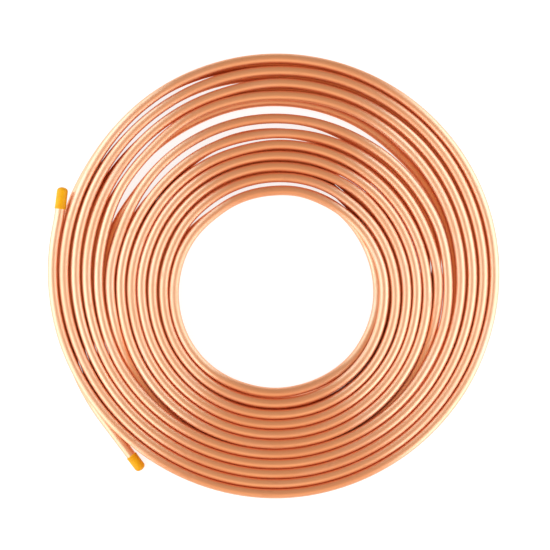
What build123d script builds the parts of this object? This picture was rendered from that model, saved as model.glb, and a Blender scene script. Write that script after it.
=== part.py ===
from build123d import *
import os
from math import asin, cos, degrees, hypot, radians, sin, sqrt

# Two-layer flat ("pancake") coil of soft copper tube, 1/4 in outside diameter,
# 15 m long, lying flat. Millimetres, +Z up, the coil's axis along Z. The origin
# is at the middle of the whole coil's outline, on the floor that it lies on.
# The wound body is one turned solid with its bore, and its turns show on both
# ends, on the rim and in the bore. The turns lie close together at -Y and fan
# out towards +Y, so each turn is turned about its own, slightly shifted axis
# and the bore sits off the middle of the outline, as on the real coil.

# ---- driving dimensions ---------------------------------------------------
TUBE_OD = 6.35            # 1/4 in tube
TUBE_WALL = 0.76          # its wall
LAYERS = 2                # the coil is two tubes high

# the eleven turns of a layer, outermost first: how far each turn's centre line
# reaches towards +Y, where the winding is loose
REACH_LOOSE = [139.29, 131.56, 123.51, 115.46, 100.65, 90.98, 83.91, 77.14,
               70.05, 62.98, 54.28]
REACH_TIGHT = 139.29      # the outermost turn's reach towards -Y
PITCH_TIGHT = TUBE_OD     # there each turn touches the next

LAND = 0.60               # half the flat at each crest, where turns touch
CREASE = 1.80             # how deep the creases between the turns are cut
EMBED = 0.60              # how far a turn's crest goes down into the body

# the upper layer's loose end, on the coil's left side (-X)
UP_R = 142.00             # centre line radius of the outward lying stretch
UP_DX, UP_DY = -2.86, 2.17      # its centre, from the outermost turn's centre
UP_Z = 9.30               # centre line height
UP_FROM, UP_TO = 310.0, 168.0   # where it leaves the coil and where it ends
UP_EASE_R, UP_EASE = 110.0, 5.0  # the slight outward bend before the cap
UP_STRAIGHT = 13.3        # straight end, inside the cap

# the lower layer's loose end, at the lower left (-X, -Y)
LOW_R = 141.70
LOW_DX, LOW_DY = 0.83, -8.18
LOW_Z = 3.62              # a little high, so that its cap clears the floor
LOW_FROM, LOW_TO = 150.0, 217.0
LOW_STRAIGHT = 38.8       # straight end, its last part inside the cap

BORED = 12.6              # depth of the open bore modelled in each tube end

# push-on plastic end caps
CAP_OD = 7.14
CAP_CLEAR = 0.03          # running clearance on the tube, each side
CAP_END = 2.00            # thickness of the closed end, at its middle
CAP_NOSE = 2.50           # radius of the nose's edge
CAP_UP = 14.1             # length of the upper end's cap
CAP_LOW = 11.4            # length of the lower end's cap

# ---- derived --------------------------------------------------------------
R = TUBE_OD / 2
HEIGHT = LAYERS * TUBE_OD
Z_UP, Z_LOW = HEIGHT - R, R
# the outermost turn's centre: these put the outline's middle on the origin,
# between that turn's sides and the upper loose end's
X0 = (UP_R - UP_DX - REACH_TIGHT) / 2
Y0 = (UP_R - UP_DY - REACH_TIGHT) / 2
TURNS = []                # (centre line radius, centre y) of each turn
for i, reach in enumerate(REACH_LOOSE):
    tight = REACH_TIGHT - i * PITCH_TIGHT
    TURNS.append(((reach + tight) / 2, Y0 + (reach - tight) / 2))
R0 = TURNS[0][0]
RB, YB = TURNS[-1]
BORE_R = RB - R           # the coil's bore, over the crests of its inner turns

R_CURVE = hypot(R, LAND)  # the tube's curve, which ends at the flats
FLOOR_H = R - CREASE      # height of a crease's floor over the centre line
FLOOR_X = sqrt(R_CURVE ** 2 - FLOOR_H ** 2)


def on_curve(r, z, angle):
    return (r + R_CURVE * cos(radians(angle)), z + R_CURVE * sin(radians(angle)))


def turned(profile, y):
    """Turn a section, drawn in XZ, once round a turn's own axis."""
    ring = revolve(Plane.XZ * profile, Axis.Z, 360)
    return Pos(X0, y, 0) * ring


def whole_turn(r, z):
    """Section of a turn that shows all round: a circle with four small flats."""
    a = degrees(asin(LAND / R_CURVE))
    edges = []
    for q in (0, 90, 180, 270):
        start, middle, end = q + a, q + 45, q + 90 - a
        edges.append(ThreePointArc(on_curve(r, z, start), on_curve(r, z, middle),
                                   on_curve(r, z, end)))
        edges.append(Line(on_curve(r, z, end), on_curve(r, z, q + 90 + a)))
    return make_face(edges)


def crest(r, z, up):
    """Section of what shows of a turn on the coil's upper or lower end."""
    a = degrees(asin(LAND / R_CURVE))
    f = degrees(asin(FLOOR_H / R_CURVE))
    s = 1 if up else -1

    def at(angle):
        x, h = on_curve(0, 0, angle)
        return (r + x, z + s * h)

    foot = z + s * (FLOOR_H - EMBED)
    right, left = at(f), at(180 - f)
    return make_face([
        ThreePointArc(right, at((f + 90 - a) / 2), at(90 - a)),
        Line(at(90 - a), at(90 + a)),
        ThreePointArc(at(90 + a), at((90 + a + 180 - f) / 2), left),
        Line(left, (left[0], foot)),
        Line((left[0], foot), (right[0], foot)),
        Line((right[0], foot), right),
    ])


# ---- the wound body -------------------------------------------------------
# the solid middle, from crease floor to crease floor
core_h = HEIGHT - 2 * CREASE
core = Pos(X0, Y0, HEIGHT / 2) * Cylinder(R0 + FLOOR_H, core_h)
core -= Pos(X0, YB, HEIGHT / 2) * Cylinder(RB - FLOOR_H, core_h + 2)

rings = []
last = len(TURNS) - 1
for i, (r, y) in enumerate(TURNS):
    if i in (0, last):
        rings.append(turned(whole_turn(r, Z_UP), y))
        rings.append(turned(whole_turn(r, Z_LOW), y))
    else:
        rings.append(turned(crest(r, Z_UP, True), y))
        rings.append(turned(crest(r, Z_LOW, False), y))
body = core.fuse(*rings)


# ---- the two loose ends ---------------------------------------------------
def polar(c, r, angle):
    return Vector(c.X + r * cos(radians(angle)), c.Y + r * sin(radians(angle)), c.Z)


def arc_about(c, r, a0, a1):
    return ThreePointArc(polar(c, r, a0), polar(c, r, (a0 + a1) / 2), polar(c, r, a1))


def tube_along(edges):
    """The tube along a path of tangent arcs and lines."""
    path = Wire(edges)
    start = path @ 0
    plane = Plane(origin=start, z_dir=path % 0)
    return sweep(plane * Circle(R), path)


# the upper end runs clockwise from inside the outermost turn to its cap
up_c = Vector(X0 + UP_DX, Y0 + UP_DY, UP_Z)
up_arc = arc_about(up_c, UP_R, UP_FROM, UP_TO)
up_at = polar(up_c, UP_R, UP_TO)
# the ease bends the other way: its centre is on the far side of the tube
up_ec = polar(up_c, UP_R + UP_EASE_R, UP_TO)
up_ease = arc_about(up_ec, UP_EASE_R, UP_TO + 180, UP_TO + 180 + UP_EASE)
up_mouth = polar(up_ec, UP_EASE_R, UP_TO + 180 + UP_EASE)
up_dir = (up_ease % 1).normalized()
up_end = up_mouth + up_dir * UP_STRAIGHT
up_tube = tube_along([up_arc, up_ease, Line(up_mouth, up_end)])

# the lower end runs anticlockwise, out from under the upper layer
low_c = Vector(X0 + LOW_DX, Y0 + LOW_DY, LOW_Z)
low_arc = arc_about(low_c, LOW_R, LOW_FROM, LOW_TO)
low_at = polar(low_c, LOW_R, LOW_TO)
low_dir = (low_arc % 1).normalized()
low_end = low_at + low_dir * LOW_STRAIGHT
low_tube = tube_along([low_arc, Line(low_at, low_end)])

# what lies inside the outermost turn's centre line is that turn itself
inside = Pos(X0, Y0, HEIGHT / 2) * Cylinder(R0, HEIGHT + 4)
up_tube = up_tube - inside
low_tube = low_tube - inside

coil = body.fuse(up_tube, low_tube)


def bored_end(end, direction):
    """The tube's own bore, open at its end."""
    plane = Plane(origin=end + direction * 0.5, z_dir=-direction)
    return extrude(plane * Circle(R - TUBE_WALL), amount=BORED + 0.5)


coil -= bored_end(up_end, up_dir)
coil -= bored_end(low_end, low_dir)
coil = coil.clean()


# ---- the end caps ---------------------------------------------------------
def end_cap(end, direction, length):
    """A cup pushed on until its closed end meets the end of the tube."""
    ro, ri = CAP_OD / 2, R + CAP_CLEAR
    n = CAP_NOSE
    nose = length - n
    k = n * (1 - cos(radians(45)))
    cup = make_face([
        Line((ri, 0), (ro, 0)),
        Line((ro, 0), (ro, nose)),
        ThreePointArc((ro, nose), (ro - k, length - k), (ro - n, length)),
        Line((ro - n, length), (0, length)),
        Line((0, length), (0, length - CAP_END)),
        Line((0, length - CAP_END), (ri, length - CAP_END)),
        Line((ri, length - CAP_END), (ri, 0)),
    ])
    cup = revolve(Plane.XZ * cup, Axis.Z, 360)
    mouth = end - direction * (length - CAP_END)
    return Plane(origin=mouth, z_dir=direction) * cup


cap_upper = end_cap(up_end, up_dir, CAP_UP)
cap_lower = end_cap(low_end, low_dir, CAP_LOW)

NODES = {
    "copper_coil": coil,
    "end_cap_upper": cap_upper,
    "end_cap_lower": cap_lower,
}
for name, shape in NODES.items():
    solids = shape.solids()
    b = shape.bounding_box()
    print(name, "solids", len(solids), "valid", all(s.is_valid for s in solids),
          "volume", round(sum(s.volume for s in solids), 1),
          "box", [round(v, 3) for v in (*b.min, *b.max)])
    export_step(shape, f"parts/{name}.step")
print("bore radius", round(BORE_R, 3), "centre", round(X0, 3), round(YB, 3))
print("upper end", [round(v, 2) for v in up_end], "lower end", [round(v, 2) for v in low_end])
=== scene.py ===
import math
import bpy
import numpy as np
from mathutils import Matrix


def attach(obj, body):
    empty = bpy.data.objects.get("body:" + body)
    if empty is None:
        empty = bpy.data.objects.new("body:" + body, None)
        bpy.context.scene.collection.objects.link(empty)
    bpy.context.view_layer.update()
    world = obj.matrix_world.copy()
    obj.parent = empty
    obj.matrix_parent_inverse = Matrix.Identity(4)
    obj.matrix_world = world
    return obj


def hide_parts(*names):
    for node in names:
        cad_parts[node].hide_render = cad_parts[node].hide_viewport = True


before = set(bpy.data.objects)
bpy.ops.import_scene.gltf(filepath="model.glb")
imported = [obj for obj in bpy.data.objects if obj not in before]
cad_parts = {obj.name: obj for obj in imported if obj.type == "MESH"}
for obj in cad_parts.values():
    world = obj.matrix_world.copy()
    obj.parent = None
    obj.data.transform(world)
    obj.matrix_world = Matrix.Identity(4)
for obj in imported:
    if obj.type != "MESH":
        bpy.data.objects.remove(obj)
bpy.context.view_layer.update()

# A flat two-layer coil of copper tube, lying on a pale floor. The tube is one
# long mesh swept along the winding, from its upper loose end, round and inwards
# through the upper layer, down at the inside, and out again through the lower
# layer to the lower loose end. A plastic cap closes each end.

# ---- the tube's path, in millimetres --------------------------------------
OD = 6.35                 # tube outside diameter
NEED = OD + 0.012         # nearest that two centre lines come
R = OD / 2
Z_UP, Z_LOW = 9.54, 3.175     # centre heights of the two layers
CX, CY = 1.37, -0.51      # the point about which the turns' radii are given
STEP = 2.4                # degrees of turn between sections
PER = 150                 # sections in a turn

# Centre line radius of each pass of the upper layer, outermost first, at each
# angle (degrees, anticlockwise from +X). The winding starts at 158 degrees, at
# the upper loose end, and runs anticlockwise and inwards.
UPPER = {
    165: [144.3, 136.7, 129.3, 121.7, 113.7, 103.6, 96.8, 89.5, 83.12, 76.1, 68.5, 61.6],
    180: [143.4, 136.2, 128.7, 121.5, 113.9, 106.3, 99.3, 92.22, 85.86, 78.6, 71.2, 64.4],
    195: [142.3, 135.4, 128.2, 121.3, 114.4, 107.5, 101.1, 94.28, 87.92, 81.1, 73.7, 67.5],
    210: [141.3, 134.65, 127.8, 121.4, 114.8, 109.7, 103.5, 96.75, 90.4, 83.7, 76.5, 70.5],
    225: [140.6, 134.0, 127.6, 121.4, 114.8, 111.7, 105.4, 98.98, 92.62, 86.0, 78.8, 73.1],
    240: [140.1, 133.6, 127.4, 121.4, 114.3, 113.7, 106.9, 100.7, 94.4, 88.0, 80.8, 74.3],
    255: [139.6, 133.3, 127.4, 121.3, 114.4, 113.8, 107.6, 101.8, 95.7, 89.3, 81.6, 74.7],
    270: [139.4, 133.1, 127.3, 121.4, 114.4, 114.0, 107.6, 102.1, 96.3, 89.8, 82.0, 75.2],
    285: [139.1, 132.9, 127.1, 121.3, 114.3, 113.7, 107.6, 101.8, 95.8, 89.3, 81.5, 74.7],
    300: [139.3, 132.9, 127.1, 121.2, 114.2, 112.7, 106.7, 100.6, 94.4, 87.8, 80.3, 74.2],
    315: [139.7, 133.1, 127.3, 121.1, 114.1, 111.2, 105.0, 98.7, 92.5, 85.8, 78.4, 73.2],
    330: [140.2, 133.5, 127.2, 120.6, 113.3, 109.1, 102.7, 96.3, 90.0, 83.0, 75.5, 71.0],
    345: [140.6, 133.8, 127.1, 120.1, 112.9, 106.5, 100.1, 93.4, 86.9, 79.9, 72.2, 68.5],
    0: [141.1, 134.0, 126.9, 119.6, 110.8, 104.55, 97.25, 90.75, 83.9, 76.5, 69.4, 65.7],
    15: [141.4, 134.1, 126.7, 119.3, 109.8, 101.4, 94.1, 87.65, 80.7, 73.3, 65.9, 63.1],
    30: [141.3, 134.1, 126.4, 118.8, 107.2, 99.1, 91.2, 84.8, 77.8, 70.1, 62.6, 61.2],
    45: [141.0, 133.9, 125.9, 118.2, 105.0, 96.7, 88.75, 82.2, 75.7, 67.4, 59.6],
    60: [140.6, 133.4, 125.3, 117.9, 102.8, 94.6, 87.1, 79.75, 73.0, 65.9, 57.4],
    75: [140.3, 132.9, 124.6, 117.1, 101.8, 92.9, 85.5, 78.4, 71.2, 64.5, 56.3],
    90: [140.1, 132.2, 124.3, 116.3, 101.4, 91.8, 84.6, 77.5, 70.5, 63.5, 55.0],
    105: [139.7, 131.6, 122.7, 116.2, 101.6, 91.6, 83.8, 77.4, 70.4, 63.3, 54.8],
    120: [139.4, 130.9, 122.4, 116.0, 102.0, 92.4, 84.6, 78.1, 71.1, 63.8, 55.3],
    135: [138.5, 130.5, 122.0, 114.0, 102.6, 93.0, 85.9, 79.4, 72.3, 65.0, 56.2],
    150: [137.2, 130.0, 121.8, 114.4, 102.8, 94.6, 87.48, 81.1, 73.9, 66.8, 58.8],
}
# Centre line radius of each pass of the lower layer, innermost first. Where the
# upper turns stand apart, most lower ones lie under the gaps between them. A 0 is
# part of the upper table or of the loose end.
LOWER = {
    0: [0, 73.5, 80.8, 88.6, 97.7, 104.1, 116.2, 123.9, 131.1, 138.3],
    15: [0, 71.2, 78.6, 86.4, 97.0, 105.6, 115.2, 123.7, 131.1, 138.5],
    30: [0, 68.5, 76.0, 83.3, 94.7, 103.7, 114.0, 123.3, 130.9, 138.5],
    45: [59.9, 66.5, 73.4, 82.9, 92.6, 101.5, 112.4, 122.7, 130.6, 138.2],
    60: [58.2, 67.75, 74.3, 83.9, 91.3, 100.6, 112.8, 122.3, 130.1, 137.7],
    75: [56.6, 68.3, 75.3, 82.4, 92.3, 101.9, 112.9, 121.6, 129.5, 137.4],
    90: [55.3, 67.4, 74.4, 81.5, 92.6, 102.0, 113.1, 121.0, 129.1, 137.0],
    105: [55.1, 67.2, 74.3, 81.1, 92.8, 102.2, 113.1, 121.1, 130.8, 138.3],
    120: [55.6, 67.8, 75.0, 82.5, 92.4, 102.6, 113.3, 122.4, 131.7, 140.1],
    135: [56.7, 68.8, 76.2, 85.5, 91.9, 103.2, 114.6, 122.7, 131.2, 139.3],
    150: [60.6, 70.7, 77.8, 89.0, 95.5, 104.5, 115.3, 124.7, 132.1, 138.9],
    165: [65.1, 72.7, 80.0, 93.2, 99.6, 109.0, 118.0, 126.2, 133.6, 139.9],
    180: [68.0, 75.3, 82.7, 95.9, 102.3, 111.1, 118.5, 125.8, 133.0, 0],
    195: [71.2, 78.0, 85.2, 97.8, 104.2, 113.7, 120.7, 127.4, 134.2, 0],
    210: [73.9, 80.8, 87.7, 98.0, 104.6, 116.6, 123.5, 130.3, 136.85, 0],
    225: [75.9, 82.9, 89.8, 98.2, 105.0, 118.5, 124.9, 131.4, 137.8, 0],
    240: [77.9, 84.9, 91.8, 99.0, 105.8, 119.9, 126.4, 132.9, 139.2, 0],
    255: [79.5, 86.9, 94.0, 100.7, 107.4, 120.5, 126.9, 133.2, 139.6, 0],
    270: [80.5, 88.4, 94.9, 101.3, 107.6, 120.4, 126.7, 133.1, 139.4, 0],
    285: [81.1, 88.3, 94.7, 101.0, 107.4, 120.1, 126.5, 132.8, 139.2, 0],
    300: [80.8, 87.3, 93.6, 100.0, 106.3, 120.2, 126.5, 132.9, 139.3, 0],
    315: [79.4, 85.8, 92.2, 98.5, 104.8, 120.6, 126.9, 133.3, 139.7, 0],
    330: [77.3, 83.7, 90.0, 96.4, 102.8, 119.8, 126.6, 133.2, 139.7, 0],
    345: [75.2, 82.2, 89.0, 95.6, 101.8, 117.9, 124.9, 131.9, 138.8, 0],
}

# the two loose ends, as arcs and straights (see the caps)
UP_C, UP_R, UP_Z = (-0.075, 2.44), 142.0, 9.30
LOW_C, LOW_R, LOW_Z = (3.615, -7.91), 141.70, 3.74


def unit(deg):
    a = np.radians(deg)
    return np.array([np.cos(a), np.sin(a)])


def loose_ends():
    """Points along each loose end: the upper one from its tip, the lower one to it."""
    c = np.array(UP_C)
    arc = np.array([c + UP_R * unit(a) for a in np.arange(250, 168, -1.0)] + [c + UP_R * unit(168)])
    ec = c + (UP_R + 110.0) * unit(168)
    ease = np.array([ec + 110.0 * unit(a) for a in np.linspace(348.2, 353, 25)])
    d = unit(353 + 90)
    straight = np.array([ease[-1] + d * s for s in np.linspace(0.25, 13.3, 52)])
    upper = np.concatenate([arc, ease, straight])[::-1]
    c = np.array(LOW_C)
    arc = np.array([c + LOW_R * unit(a) for a in np.linspace(140, 217, 155)])
    d = unit(217 + 90)
    straight = np.array([arc[-1] + d * s for s in np.linspace(0.25, 38.8, 156)])
    lower = np.concatenate([arc, straight])
    return upper, lower


def polar(p):
    q = p - np.array([CX, CY])
    return np.degrees(np.unwrap(np.arctan2(q[:, 1], q[:, 0]))), np.hypot(q[:, 0], q[:, 1])


def local_fit(t, kt, kv, sigma):
    """A smooth curve near the points (kt, kv): a cubic fitted about each t."""
    out = np.empty(len(t))
    for i, x in enumerate(t):
        lo, hi = np.searchsorted(kt, (x - 3.2 * sigma, x + 3.2 * sigma))
        u = (kt[lo:hi] - x) / 60.0
        w = np.exp(-0.5 * ((kt[lo:hi] - x) / sigma) ** 2)
        A = np.vander(u, 4, increasing=True) * w[:, None]
        out[i] = np.linalg.lstsq(A, kv[lo:hi] * w, rcond=None)[0][0]
    return out


def smooth(v, n):
    for _ in range(n):
        v = np.concatenate([[v[0]], (v[:-2] + 2 * v[1:-1] + v[2:]) / 4, [v[-1]]])
    return v


def step(x, a, b):
    u = np.clip((x - a) / (b - a), 0, 1)
    return u * u * (3 - 2 * u)


def coil_path():
    upper_end, lower_end = loose_ends()
    ut, ur = polar(upper_end)
    ut = ut + 360 * np.round((158.2 - ut[0]) / 360)
    lt, lr = polar(lower_end)
    lt = lt + 360 * np.round((7795.1 - lt[-1]) / 360)

    # knots of the whole path, by its running angle t
    knots = {}
    for a, row in UPPER.items():
        for n, r in enumerate(row, 1):
            knots[a + 360 * (n if a < 160 else n - 1)] = r
    last_upper = max(knots)
    for a, row in LOWER.items():
        for j, r in enumerate(row, 1):
            if r:
                knots[a + 4320 + 360 * (j - 1)] = r
    for x in range(7740, 7806, 15):
        knots[x] = float(np.interp(x, lt, lr))
    kt = np.array(sorted(knots), float)
    kr = np.array([knots[x] for x in kt])
    # the long stretches with no knots are filled evenly
    full = np.arange(kt[0], kt[-1] + 1, 15.0)
    kr = np.interp(full, kt, kr)
    kt = full

    t = np.arange(67, 3248) * STEP
    rt = np.empty(len(t))
    a = t <= last_upper - 20
    rt[a] = local_fit(t[a], kt, kr, 13.0)
    rt[~a] = local_fit(t[~a], kt, kr, 13.0)
    # the loose ends take over where they leave the coil
    w = 1 - step(t, 205, 250)
    rt = rt + w * (np.interp(t, ut, ur) - rt) * (t < 251)
    w = step(t, 7725, 7762)
    rt = rt + w * (np.interp(t, lt, lr) - rt) * (t > 7724)

    # heights: the upper layer, one pass that dips under its neighbour, the
    # descent to the lower layer at the inside, and the lower layer
    zk = [(0, UP_Z), (172, UP_Z), (196, Z_UP),
          (1990, Z_UP), (2000, 8.6), (2010, 6.0), (2022, 4.2), (2034, 3.4), (2045, Z_LOW),
          (2100, Z_LOW), (2112, 3.45), (2124, 4.2), (2136, 5.8), (2148, 8.2), (2158, Z_UP),
          (4215, Z_UP), (4235, 9.1), (4260, 6.9), (4275, 4.7), (4290, 3.5), (4305, Z_LOW),
          (7764, Z_LOW), (7773, 3.3), (7781, LOW_Z), (7800, LOW_Z)]
    zt = smooth(np.interp(t, [k[0] for k in zk], [k[1] for k in zk]), 10)

    n = len(t)
    r, z = rt.copy(), zt.copy()
    # turns that cross a section's plane askew lie closer than they seem in it
    flat = 1 / np.sqrt(1 + (np.gradient(rt, np.radians(STEP)) / rt) ** 2)
    # how freely each section moves: the loose ends don't, the lower layer does
    free_r = np.where(t < 4300, 0.55, 1.0)
    free_r[(t > 1985) & (t < 2165)] = 0.15
    free_r *= step(t, 205, 262) * (1 - step(t, 7700, 7764))
    moves_z = ((t > 1985) & (t < 2022)) | ((t > 2124) & (t < 2165)) | ((t > 4205) & (t < 4300))
    free_z = np.where(moves_z, 0.8, 0.0)
    rounds = 700
    for it in range(rounds):
        pull = 0.035 * (1 - it / rounds) + 0.002
        r += pull * (rt - r) * (free_r > 0)
        z += pull * (zt - z) * (free_z > 0)
        for m in range(1, 22):
            k = PER * m
            if k >= n:
                break
            dr, dz = r[k:] - r[:-k], z[k:] - z[:-k]
            c = np.minimum(flat[k:], flat[:-k])
            d = np.hypot(dr * c, dz)
            near = np.nonzero(d < NEED)[0]
            if len(near) == 0:
                continue
            dr, dz, c, d = dr[near], dz[near], c[near], d[near] + 1e-9
            fa, fb = free_r[near], free_r[near + k]
            ga, gb = free_z[near], free_z[near + k]
            share = np.where(ga + gb > 0, 0.5, 1.0)
            side = np.sqrt(np.maximum(NEED ** 2 - dz ** 2, 0)) / c - np.abs(dr)
            sgn = np.where(dr >= 0, 1.0, -1.0) * share * side / np.maximum(fa + fb, 0.05)
            np.add.at(r, near, -sgn * fa)
            np.add.at(r, near + k, sgn * fb)
            pz = (NEED - d) * dz / d
            np.add.at(z, near, -0.6 * pz * ga)
            np.add.at(z, near + k, 0.6 * pz * gb)
        z = np.clip(z, Z_LOW, None)
        z = np.where(t < 4200, np.minimum(z, Z_UP), z)
        soft = 1.0 if it < rounds - 60 else 0.35 if it < rounds - 6 else 0.0
        if soft:
            w = soft * (free_r > 0) * np.minimum(1, 0.1 + free_r)
            r += w * (rt + smooth(r - rt, 2) - r)
            w = soft * (free_z > 0)
            z += w * (zt + smooth(z - zt, 2) - z)
            z = np.clip(z, Z_LOW, None)
    return t, r, z, rt, zt, flat, upper_end, lower_end


def neighbours(r, z):
    """Three values for each section, from 0 to 1: how near a tube of the same layer
    lies outside, the same inside, and how well the other layer covers it."""
    n = len(r)
    beside = np.full((2, n), 99.0)
    across = np.full((2, n), 99.0)
    for m in range(1, 22):
        k = PER * m
        if k >= n:
            break
        dr, level = r[k:] - r[:-k], np.abs(z[k:] - z[:-k]) < 3.0
        for here, d in ((slice(0, n - k), dr), (slice(k, n), -dr)):
            for side, out in ((0, d), (1, -d)):
                beside[side, here] = np.where(level & (out > 0), np.minimum(beside[side, here], out), beside[side, here])
                far = ~level & (out > -2.5)
                across[side, here] = np.where(far, np.minimum(across[side, here], np.abs(out)), across[side, here])
    near = 1 - step(beside - OD, 0.7, 4.0)
    cover = (1 - step(across[0], 6.5, 9.0)) * (1 - step(across[1], 6.5, 9.0))
    return np.vstack([near, cover])


def tube_points():
    """Points, directions and running lengths of the centre line, in millimetres,
    and what lies round it."""
    t, r, z, _, _, _, upper_end, lower_end = coil_path()
    near = neighbours(r, z)
    # the painted crease shade is weakened on the pass that dips, so it stays bright while it shows beside its
    # neighbour
    near *= 1 - step(t, 1980, 2000) * (1 - step(t, 2150, 2172)) * np.array([[0.4], [0.4], [1.0]])
    a = np.radians(t)
    P = np.stack([CX + r * np.cos(a), CY + r * np.sin(a), z], 1)
    # the straight ends, inside the caps
    tip_u, tip_l = np.append(upper_end[0], UP_Z), np.append(lower_end[-1], LOW_Z)
    du = np.append(unit(353 + 90), 0.0)
    dl = np.append(unit(217 + 90), 0.0)
    along_u = (tip_u - P) @ du
    along_l = (tip_l - P) @ dl
    first = np.nonzero(along_u[:20] > 15.5)[0][0]
    last = len(P) - 20 + np.nonzero(along_l[-20:] > 15.5)[0][-1]
    start = np.array([tip_u - du * s for s in (0, 4.2, 8.4, 12.7)])
    end = np.array([tip_l - dl * s for s in (12.7, 8.4, 4.2, 0)])
    P = np.concatenate([start, P[first:last + 1], end])
    side = np.concatenate([np.zeros((3, 4)), near[:, first:last + 1], np.zeros((3, 4))], 1)
    T = np.gradient(P, axis=0)
    # a centred difference over uneven spacing leans, so it is weighted by length
    d = np.diff(P, axis=0)
    L = np.linalg.norm(d, axis=1)
    u = d / L[:, None]
    T[1:-1] = u[:-1] * L[1:, None] + u[1:] * L[:-1, None]
    T /= np.linalg.norm(T, axis=1)[:, None]
    T[:4], T[-4:] = -du, dl
    s = np.concatenate([[0], np.cumsum(L)])
    return P, T, s, side


SIDES = 24
BORE = 2.415              # radius of the tube's bore
DEPTH = 12.6              # how deep the open ends are modelled
MM = 0.001


def smooth_shade(me, flag=True):
    me.polygons.foreach_set("use_smooth", [flag] * len(me.polygons))


def link(name, me):
    ob = bpy.data.objects.new(name, me)
    bpy.context.scene.collection.objects.link(ob)
    return ob


def make_tube():
    P, T, s, side = tube_points()
    n = len(P)
    N = np.stack([T[:, 1], -T[:, 0], np.zeros(n)], 1)
    N /= np.linalg.norm(N, axis=1)[:, None]
    B = np.cross(N, T)
    phi = 2 * np.pi * np.arange(SIDES) / SIDES
    cs, sn = np.cos(phi), np.sin(phi)
    ring = (P[:, None, :] + R * (cs[None, :, None] * N[:, None, :] + sn[None, :, None] * B[:, None, :]))
    co = [ring.reshape(-1, 3)]
    tc = [np.stack([np.repeat(s, SIDES), np.tile(R * cs, n), np.tile(R * sn, n)], 1)]
    i, j = np.meshgrid(np.arange(n - 1), np.arange(SIDES), indexing="ij")
    i, j = i.ravel(), j.ravel()
    k = (j + 1) % SIDES
    quads = np.stack([i * SIDES + j, (i + 1) * SIDES + j, (i + 1) * SIDES + k, i * SIDES + k], 1)
    # a tidy map: one strip for each 150 sections
    rows = (n - 1) // PER + 1
    row, u0, u1 = i // PER, (i % PER) / PER, (i % PER + 1) / PER
    v0 = (row + 0.03 + 0.94 * j / SIDES) / rows
    v1 = (row + 0.03 + 0.94 * (j + 1) / SIDES) / rows
    x0, x1 = 0.004 + 0.992 * u0, 0.004 + 0.992 * u1
    uv = [np.stack([x0, v0, x1, v0, x1, v1, x0, v1], 1).reshape(-1, 2)]
    faces = [list(map(int, q)) for q in quads]
    base = n * SIDES
    loops_uv = uv[0].tolist()
    for end in (0, 1):
        c = P[0] if end == 0 else P[-1]
        d = T[0] if end == 0 else -T[-1]          # into the tube
        f = 0 if end == 0 else n - 1
        mouth = c + BORE * (cs[:, None] * N[f] + sn[:, None] * B[f])
        deep = mouth + d * DEPTH
        centre = (c + d * DEPTH)[None]
        co += [mouth, deep, centre]
        sm = s[0] if end == 0 else s[-1]
        for depth in (0, DEPTH):
            tc.append(np.stack([np.full(SIDES, sm + depth), BORE * cs, BORE * sn], 1))
        tc.append(np.array([[sm + DEPTH, 0, 0]]))
        m, q, mid = base, base + SIDES, base + 2 * SIDES
        base += 2 * SIDES + 1
        cx, cy, w = 0.55 + 0.2 * end, (rows - 0.5) / rows, 0.4 / rows
        for a in range(SIDES):
            b = (a + 1) % SIDES
            oa, ob = f * SIDES + a, f * SIDES + b
            fan = [[oa, ob, m + b, m + a], [m + a, m + b, q + b, q + a], [q + a, q + b, mid]]
            for g, face in enumerate(fan):
                if end == 1:
                    face = face[::-1]
                faces.append(face)
                for v in face:
                    if v == mid:
                        x, y = 0.0, 0.0
                    else:
                        p = 2 * math.pi * ((v - q) if v >= q else (v - m) if v >= m else (v - f * SIDES)) / SIDES
                        rad = 0.35 if v >= q else 0.7 if v >= m else 1.0
                        x, y = rad * math.cos(p), rad * math.sin(p)
                    loops_uv.append([cx + x * w, cy + y * w])
    co = np.concatenate(co) * MM
    tc = np.concatenate(tc) * MM
    me = bpy.data.meshes.new("copper_tube")
    me.from_pydata(co.tolist(), [], faces)
    me.uv_layers.new(name="OFBake")
    me.uv_layers["OFBake"].uv.foreach_set("vector", np.array(loops_uv, np.float32).ravel())
    at = me.attributes.new("tube_co", "FLOAT_VECTOR", "POINT")
    at.data.foreach_set("vector", tc.astype(np.float32).ravel())
    # inner: a mask of painted shade, a deeper red standing in for the shade and red inter-reflection on faces that
    # face the other layer and on flanks close to the next turn
    beside = np.where(cs[None, :] > 0, side[0][:, None], side[1][:, None])
    w = np.abs(cs)[None, :]
    facing = np.where(P[:, 2] > 6.35, -1.0, 1.0)[:, None] * sn[None, :]
    inner = step(facing, -0.1, 0.4) * (w * beside + 1 - w) * side[2][:, None]
    inner = np.maximum(inner, beside * step(w, 0.80, 0.99))
    inner = np.concatenate([inner.ravel(), np.zeros(len(co) - n * SIDES)])
    at = me.attributes.new("inner", "FLOAT", "POINT")
    at.data.foreach_set("value", inner.astype(np.float32))
    smooth_shade(me)
    me.validate()
    ob = link("copper_tube", me)
    print("tube: sections", n, "length m", round(float(s[-1]) / 1000, 3), "triangles", 2 * (n - 1) * SIDES + 2 * SIDES * 5)
    return ob, P, T


tube, P, T = make_tube()
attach(tube, "root")
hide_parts("copper_coil")


# ---- the end caps ---------------------------------------------------------
CAP_UP, CAP_LOW = 14.1, 11.4      # lengths
CAP_END = 2.0             # thickness of the closed end, at its middle


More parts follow.
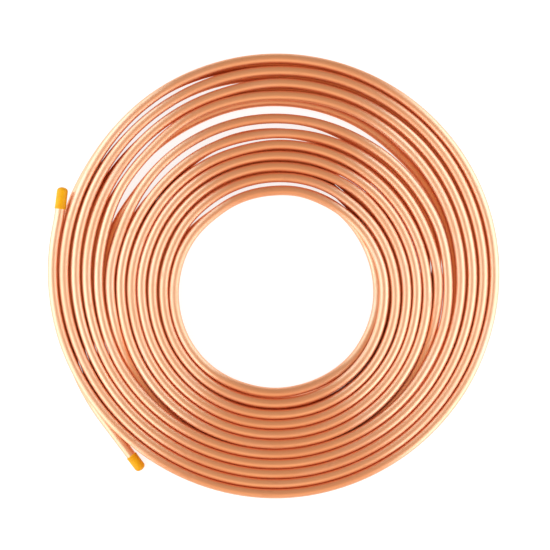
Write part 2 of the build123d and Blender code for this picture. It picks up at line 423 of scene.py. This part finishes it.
def cap_profile(length):
    """Outer and inner outline of a push-on cap, (radius, distance from its mouth)."""
    p = [(3.235, 0.35), (3.26, 0.12), (3.36, 0.01), (3.50, 0.0), (3.62, 0.06), (3.68, 0.22), (3.69, 0.5),
         (3.66, 0.85), (3.60, 1.15), (3.57, 1.6), (3.565, 3.0), (3.555, length * 0.45),
         (3.545, length - 4.0), (3.54, length - 2.9)]
    nose = 2.5
    for a in np.linspace(8, 78, 8):
        p.append((3.54 - nose + nose * math.cos(math.radians(a)), length - 2.6 + nose * math.sin(math.radians(a)) * 0.98))
    p += [(1.15, length - 0.09), (0.82, length - 0.03), (0.62, length), (0.56, length + 0.02), (0.52, length + 0.05),
          (0.40, length + 0.07), (0.0, length + 0.07)]
    inner = [(3.21, 1.0), (3.205, length * 0.5), (3.205, length - 2.1), (3.18, length - CAP_END), (0.0, length - CAP_END)]
    return p, inner


def make_cap(name, mouth, d, length, seed):
    seg = 48
    outer, inner = cap_profile(length)
    side = np.array([d[1], -d[0], 0.0])
    side /= np.linalg.norm(side)
    up = np.cross(side, d)
    co, faces, tc = [], [], []

    def lathe(pts, flip, first_ring=None):
        rings = [first_ring] if first_ring is not None else []
        for r, x in pts:
            if r == 0:
                co.append(mouth + d * x)
                tc.append((0, 0, x))
                rings.append([len(co) - 1])
                continue
            here = []
            for k in range(seg):
                a = 2 * math.pi * k / seg
                # soft plastic: the mouth is a hair out of round
                q = r * (1 + 0.006 * math.cos(2 * a + seed) * math.exp(-x / 4.0))
                co.append(mouth + d * x + side * (q * math.cos(a)) + up * (q * math.sin(a)))
                tc.append((r * math.cos(a), r * math.sin(a), x))
                here.append(len(co) - 1)
            rings.append(here)
        for a, b in zip(rings, rings[1:]):
            for k in range(seg):
                m = (k + 1) % seg
                if len(b) == 1:
                    f = [a[k], a[m], b[0]]
                else:
                    f = [a[k], a[m], b[m], b[k]]
                faces.append(f[::-1] if flip else f)
        return rings

    rings = lathe(outer, True)
    lathe(inner, False, rings[0])
    me = bpy.data.meshes.new(name)
    me.from_pydata([tuple(float(c) * MM for c in v) for v in co], [], faces)
    at = me.attributes.new("cap_co", "FLOAT_VECTOR", "POINT")
    at.data.foreach_set("vector", (np.array(tc, np.float32) * MM).ravel())
    smooth_shade(me)
    me.validate()
    return link(name, me)


cap_u = make_cap("cap_upper", P[0] + T[0] * (CAP_UP - CAP_END), -T[0], CAP_UP, 0.6)
cap_l = make_cap("cap_lower", P[-1] - T[-1] * (CAP_LOW - CAP_END), T[-1], CAP_LOW, 2.1)
for ob, node in ((cap_u, "end_cap_upper"), (cap_l, "end_cap_lower")):
    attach(ob, "root")
    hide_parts(node)


# ---- materials ------------------------------------------------------------
def new_material(name):
    m = bpy.data.materials.new(name)
    m.use_nodes = True
    nt = m.node_tree
    nt.nodes.clear()
    out = nt.nodes.new("ShaderNodeOutputMaterial")
    b = nt.nodes.new("ShaderNodeBsdfPrincipled")
    nt.links.new(b.outputs[0], out.inputs[0])
    return m, nt, b


def noise(nt, vec, scale, detail=3.0, rough=0.55, stretch=(1, 1, 1), offset=(0, 0, 0), distort=0.0):
    mp = nt.nodes.new("ShaderNodeMapping")
    mp.inputs["Scale"].default_value = stretch
    mp.inputs["Location"].default_value = offset
    nt.links.new(vec, mp.inputs["Vector"])
    nz = nt.nodes.new("ShaderNodeTexNoise")
    nz.inputs["Scale"].default_value = scale
    nz.inputs["Detail"].default_value = detail
    nz.inputs["Roughness"].default_value = rough
    nz.inputs["Distortion"].default_value = distort
    nt.links.new(mp.outputs[0], nz.inputs["Vector"])
    return nz.outputs["Fac"]


def ranged(nt, val, a, b, lo, hi, smooth_=True):
    n = nt.nodes.new("ShaderNodeMapRange")
    n.interpolation_type = "SMOOTHSTEP" if smooth_ else "LINEAR"
    n.inputs["From Min"].default_value = a
    n.inputs["From Max"].default_value = b
    n.inputs["To Min"].default_value = lo
    n.inputs["To Max"].default_value = hi
    nt.links.new(val, n.inputs["Value"])
    return n.outputs["Result"]


def mix(nt, fac, a, b):
    n = nt.nodes.new("ShaderNodeMix")
    n.data_type = "RGBA"
    nt.links.new(fac, n.inputs[0])
    for sock, v in ((n.inputs[6], a), (n.inputs[7], b)):
        if isinstance(v, tuple):
            sock.default_value = (*v, 1)
        else:
            nt.links.new(v, sock)
    return n.outputs[2]


def math_(nt, op, a, b):
    n = nt.nodes.new("ShaderNodeMath")
    n.operation = op
    for k, v in enumerate((a, b)):
        if isinstance(v, (int, float)):
            n.inputs[k].default_value = v
        else:
            nt.links.new(v, n.inputs[k])
    return n.outputs[0]


def bump(nt, height, dist, strength, normal=None):
    n = nt.nodes.new("ShaderNodeBump")
    n.inputs["Strength"].default_value = strength
    n.inputs["Distance"].default_value = dist
    nt.links.new(height, n.inputs["Height"])
    if normal is not None:
        nt.links.new(normal, n.inputs["Normal"])
    return n.outputs[0]


def copper_material():
    m, nt, b = new_material("soft_drawn_copper")
    at = nt.nodes.new("ShaderNodeAttribute")
    at.attribute_name = "tube_co"
    co = at.outputs["Vector"]
    # slow change of tone along the tube, from bright to faintly tarnished
    slow = noise(nt, co, 9.0, 2.0, 0.5, (1, 6, 6))
    tone = mix(nt, ranged(nt, slow, 0.36, 0.66, 0, 1), (0.95, 0.515, 0.325), (0.92, 0.460, 0.275))
    pink = noise(nt, co, 26.0, 2.0, 0.5, (1, 3, 3), (3.1, 0, 0))
    tone = mix(nt, ranged(nt, pink, 0.5, 0.72, 0, 0.55), tone, (0.94, 0.53, 0.38))
    # draw lines, long and fine, along the tube
    lines = noise(nt, co, 1900.0, 2.0, 0.6, (0.012, 1, 1))
    tone = mix(nt, ranged(nt, lines, 0.55, 0.8, 0, 0.16), tone, (0.78, 0.33, 0.18))
    # handling stains: small duller clouds
    stain = noise(nt, co, 150.0, 4.0, 0.6, (0.55, 1, 1), (7.7, 0, 0), 0.4)
    spots = ranged(nt, stain, 0.58, 0.78, 0, 0.30)
    tone = mix(nt, spots, tone, (0.72, 0.30, 0.16))
    # painted shade: the inner mask turns the metal a deeper red where it faces the other layer or lies close beside
    # the next turn, in place of the shade and red inter-reflection there
    inner = nt.nodes.new("ShaderNodeAttribute")
    inner.attribute_name = "inner"
    tone = mix(nt, inner.outputs["Fac"], tone, (0.93, 0.34, 0.15))
    nt.links.new(tone, b.inputs["Base Color"])
    b.inputs["Metallic"].default_value = 1.0
    b.inputs["Specular Tint"].default_value = (1.0, 0.62, 0.42, 1)
    # the fine draw lines spread a reflection across the tube, not along it
    tan = nt.nodes.new("ShaderNodeTangent")
    tan.direction_type = "UV_MAP"
    tan.uv_map = "OFBake"
    nt.links.new(tan.outputs[0], b.inputs["Tangent"])
    b.inputs["Anisotropic"].default_value = 0.75
    b.inputs["Anisotropic Rotation"].default_value = 0.25
    rough = ranged(nt, slow, 0.3, 0.7, 0.35, 0.41)
    rough = math_(nt, "ADD", rough, ranged(nt, stain, 0.5, 0.8, 0.0, 0.10))
    rough = math_(nt, "ADD", rough, ranged(nt, lines, 0.3, 0.8, -0.02, 0.05))
    nt.links.new(rough, b.inputs["Roughness"])
    wave = noise(nt, co, 45.0, 2.0, 0.5, (1, 0.6, 0.6), (1.3, 0, 0))
    n1 = bump(nt, wave, 0.00035, 0.35)
    dent = noise(nt, co, 420.0, 3.0, 0.5, (0.5, 1, 1), (5.5, 0, 0))
    n2 = bump(nt, dent, 0.00006, 0.35, n1)
    n3 = bump(nt, lines, 0.00002, 0.30, n2)
    nt.links.new(n3, b.inputs["Normal"])
    return m


def cap_material():
    m, nt, b = new_material("yellow_cap_plastic")
    at = nt.nodes.new("ShaderNodeAttribute")
    at.attribute_name = "cap_co"
    co = at.outputs["Vector"]
    cloud = noise(nt, co, 260.0, 3.0, 0.5)
    tone = mix(nt, ranged(nt, cloud, 0.35, 0.7, 0, 1), (0.80, 0.335, 0.002), (0.76, 0.290, 0.002))
    grime = noise(nt, co, 900.0, 4.0, 0.65, (1, 1, 0.5), (2.0, 0, 0))
    tone = mix(nt, ranged(nt, grime, 0.62, 0.8, 0, 0.25), tone, (0.52, 0.18, 0.01))
    nt.links.new(tone, b.inputs["Base Color"])
    nt.links.new(ranged(nt, cloud, 0.3, 0.7, 0.42, 0.54), b.inputs["Roughness"])
    b.inputs["Specular IOR Level"].default_value = 0.16
    n1 = bump(nt, cloud, 0.00012, 0.25)
    pores = noise(nt, co, 5200.0, 2.0, 0.5)
    nt.links.new(bump(nt, pores, 0.00002, 0.35, n1), b.inputs["Normal"])
    return m


tube.data.materials.append(copper_material())
plastic = cap_material()
for ob in (cap_u, cap_l):
    ob.data.materials.append(plastic)


# ---- floor, light and camera ----------------------------------------------
def make_floor():
    me = bpy.data.meshes.new("floor")
    h = 2.5
    me.from_pydata([(-h, -h, 0), (h, -h, 0), (h, h, 0), (-h, h, 0)], [], [(0, 1, 2, 3)])
    ob = link("floor", me)
    m, nt, b = new_material("pale_floor")
    b.inputs["Base Color"].default_value = (0.30, 0.30, 0.30, 1)
    b.inputs["Roughness"].default_value = 0.9
    b.inputs["Emission Color"].default_value = (1.0, 1.0, 1.0, 1)
    b.inputs["Emission Strength"].default_value = 0.80
    me.materials.append(m)
    return ob


make_floor()


def panel(name, loc, target, sx, sy, radiance, color=(1, 1, 1)):
    li = bpy.data.lights.new(name, "AREA")
    li.shape = "RECTANGLE"
    li.size, li.size_y = sx, sy
    li.energy = radiance * math.pi * sx * sy
    li.color = color
    ob = bpy.data.objects.new(name, li)
    bpy.context.scene.collection.objects.link(ob)
    ob.location = loc
    ob.visible_camera = False
    from mathutils import Vector
    dvec = Vector(target) - Vector(loc)
    ob.rotation_euler = dvec.to_track_quat("-Z", "Y").to_euler()
    return ob


# two long low softboxes close to the coil's left and right sides
for side in (-1, 1):
    panel("softbox_left" if side < 0 else "softbox_right", (side * 0.27, 0.0, 0.165), (0.0, 0.0, 0.165),
          0.80, 0.34, 2.15, (0.55, 1.0, 1.25))

# the room: warm, dim straight up and low down, a little brighter at the front
world = bpy.data.worlds.new("studio")
bpy.context.scene.world = world
world.use_nodes = True
wn = world.node_tree
bg = wn.nodes["Background"]
tcn = wn.nodes.new("ShaderNodeTexCoord")
sep = wn.nodes.new("ShaderNodeSeparateXYZ")
wn.links.new(tcn.outputs["Generated"], sep.inputs[0])
rise = ranged(wn, sep.outputs["Z"], 0.05, 0.60, 0.45, 0.88)
dark = ranged(wn, sep.outputs["Z"], 0.84, 1.0, 0.0, -0.30)
front = math_(wn, "MULTIPLY", ranged(wn, sep.outputs["Y"], -0.20, -0.80, 0.0, 0.42), ranged(wn, sep.outputs["Z"], 0.1, 0.4, 0.0, 1.0))
back = math_(wn, "MULTIPLY", ranged(wn, sep.outputs["Y"], 0.10, 0.75, 0.0, -0.30), ranged(wn, sep.outputs["Z"], 0.1, 0.4, 0.0, 1.0))
wn.links.new(math_(wn, "ADD", math_(wn, "ADD", rise, dark), math_(wn, "ADD", front, back)), bg.inputs["Strength"])
bg.inputs["Color"].default_value = (1.0, 0.74, 0.50, 1)

cam = bpy.data.cameras.new("camera")
cam_ob = bpy.data.objects.new("camera", cam)
bpy.context.scene.collection.objects.link(cam_ob)
DIST = 1.15
cam_ob.location = (0.00111, 0.00013, 0.0095 + DIST)
cam_ob.rotation_euler = (0, 0, 0)
cam.sensor_width = 36.0
cam.lens = 36.0 * DIST / 0.3542
cam.clip_start = 0.05
cam.clip_end = 20
bpy.context.scene.camera = cam_ob
bpy.context.scene.view_settings.view_transform = "Standard"
